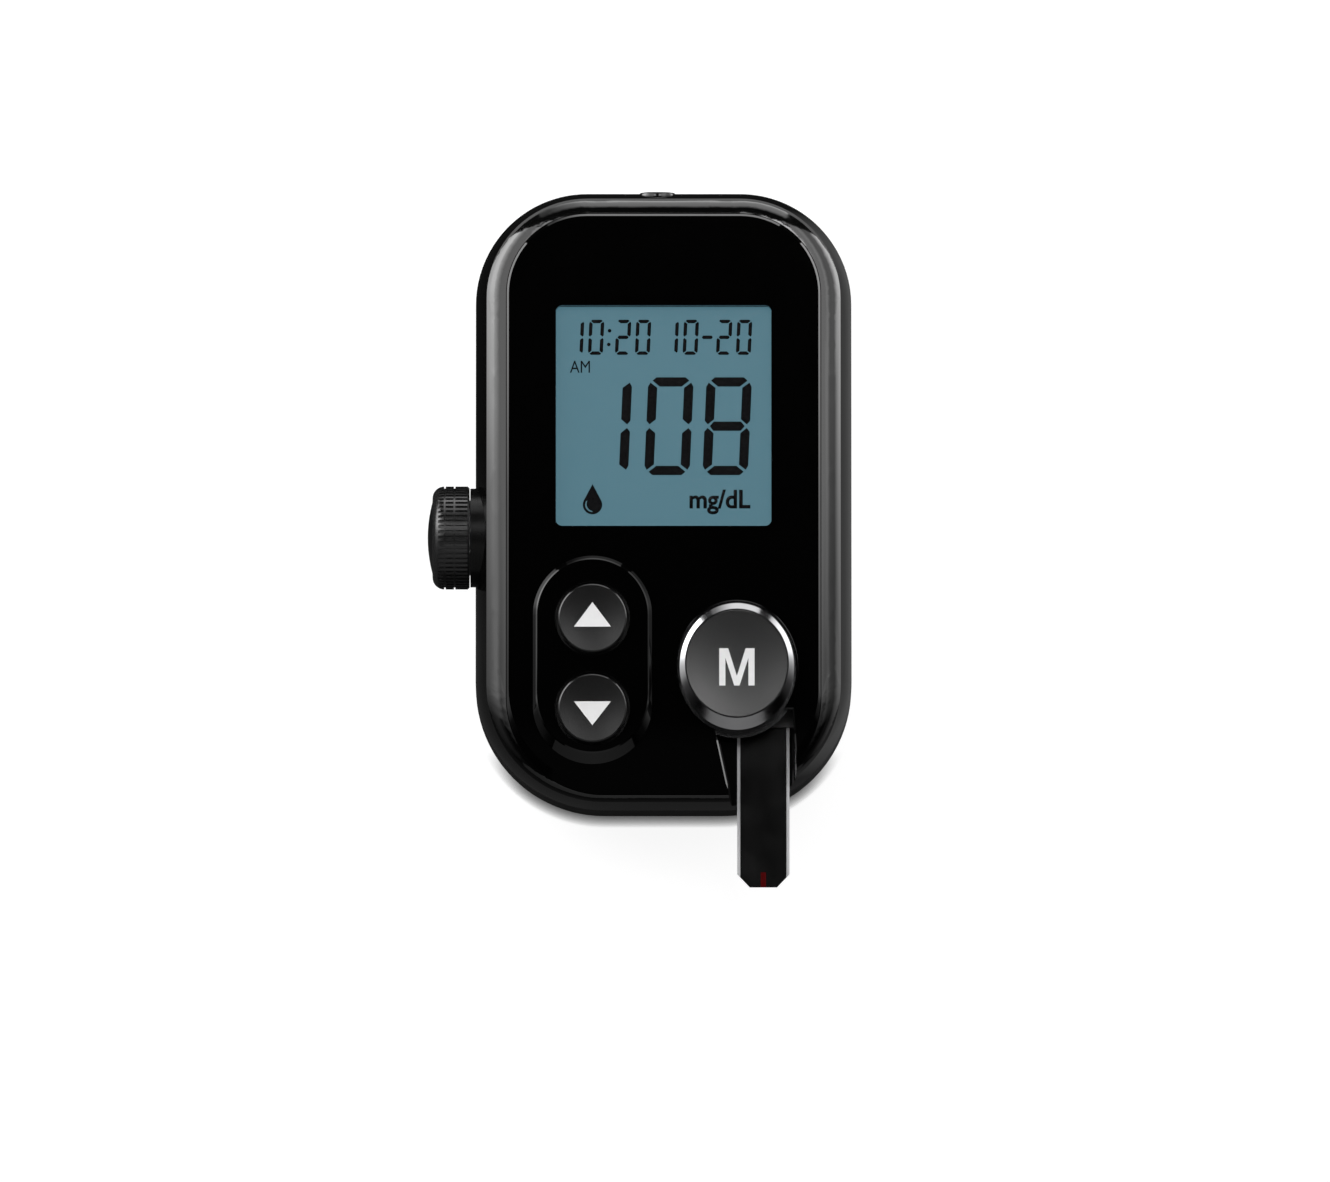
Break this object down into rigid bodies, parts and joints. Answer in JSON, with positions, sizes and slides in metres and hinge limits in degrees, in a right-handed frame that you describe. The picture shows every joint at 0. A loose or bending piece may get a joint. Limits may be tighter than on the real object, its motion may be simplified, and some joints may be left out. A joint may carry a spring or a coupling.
{
  "type": "blood glucose meter",
  "caption": "Handheld blood glucose meter with a display, arrow keys, a large memory key, a knurled side dial, a test strip in its port and a twist battery door.",
  "frame": {"origin": "middle of the flat rear face that the meter lies on", "axes": "+Z out of the display, +Y towards the top end of the meter, +X to the right as the display is read"},
  "size_m": [0.0609, 0.1008, 0.0227],
  "materials": {
    "shell_gloss": "high gloss black",
    "shell_satin": "fine textured black",
    "facia_gloss": "mirror gloss black",
    "lens_clear": "clear",
    "lcd_cell": "blue-grey display cell",
    "frame_white": "moulded white",
    "guide_clear": "frosted",
    "rubber_black": "matt",
    "rubber_grey": "banded matt",
    "key_satin": "satin dark grey",
    "key_rim": "polished rim",
    "board_green": "solder mask",
    "chip_black": "moulded package",
    "dome_steel": "bright",
    "spring_brass": "gold flash",
    "cell_steel": "satin",
    "screw_steel": "black oxide",
    "port_black": "moulded",
    "strip_white": "polyester sheet",
    "strip_black": "printed film",
    "strip_red": "dried reagent",
    "dial_black": "knurled satin",
    "encoder_metal": "plated"
  },
  "bodies": {
    "housing": {"rear_housing": "shell_satin", "front_housing": "shell_gloss", "front_panel": "facia_gloss", "display_window": "lens_clear", "display_gasket": "rubber_black", "lcd_glass": "lcd_cell", "lcd_frame": "frame_white", "light_guide": "guide_clear", "zebra_connectors": "rubber_grey", "key_bezel": "facia_gloss", "main_board": "board_green", "board_chips": "chip_black", "buzzer": "chip_black", "key_board": "board_green", "board_spacers": "frame_white", "key_domes": "dome_steel", "strip_port": "port_black", "strip_contacts": "spring_brass", "top_switch": "chip_black", "dial_collar": "shell_gloss", "encoder_body": "encoder_metal", "encoder_nut": "encoder_metal", "battery_cells": "cell_steel", "battery_contacts": "spring_brass", "housing_screws": "screw_steel", "board_screws": "screw_steel"},
    "up_key": {"up_button": "key_satin"},
    "down_key": {"down_button": "key_satin"},
    "memory_key": {"memory_button": "key_rim", "memory_cap": "key_satin"},
    "power_key": {"top_button": "shell_gloss"},
    "dial": {"dial_knob": "dial_black", "dial_cap": "shell_gloss", "encoder_shaft": "encoder_metal"},
    "strip": {"test_strip": "strip_white", "strip_cover": "strip_black", "strip_channel": "strip_red"},
    "door": {"battery_door": "shell_satin"}
  },
  "joints": [
    {"name": "up_press", "type": "slide", "parent": "housing", "child": "up_key", "axis": [0, 0, -1], "range_m": [0, 0.0005], "stiffness_N_per_m": 1500, "springref_m": -0.0003},
    {"name": "down_press", "type": "slide", "parent": "housing", "child": "down_key", "axis": [0, 0, -1], "range_m": [0, 0.0005], "stiffness_N_per_m": 1500, "springref_m": -0.0003},
    {"name": "memory_press", "type": "slide", "parent": "housing", "child": "memory_key", "axis": [0, 0, -1], "range_m": [0, 0.0005], "stiffness_N_per_m": 1500, "springref_m": -0.0003},
    {"name": "power_press", "type": "slide", "parent": "housing", "child": "power_key", "axis": [0, -1, 0], "range_m": [0, 0.0005], "stiffness_N_per_m": 1500, "springref_m": -0.0003},
    {"name": "dial_turn", "type": "hinge", "parent": "housing", "child": "dial", "pos_m": [-0.03, -0.0052, 0.012], "axis": [-1, 0, 0], "continuous": true},
    {"name": "strip_pull", "type": "slide", "parent": "housing", "child": "strip", "axis": [0, -1, 0], "range_m": [0, 0.011]},
    {"name": "door_turn", "type": "hinge", "parent": "housing", "child": "door", "pos_m": [0, 0.02, 0], "axis": [0, 0, -1], "range_deg": [0, 30]}
  ]
}
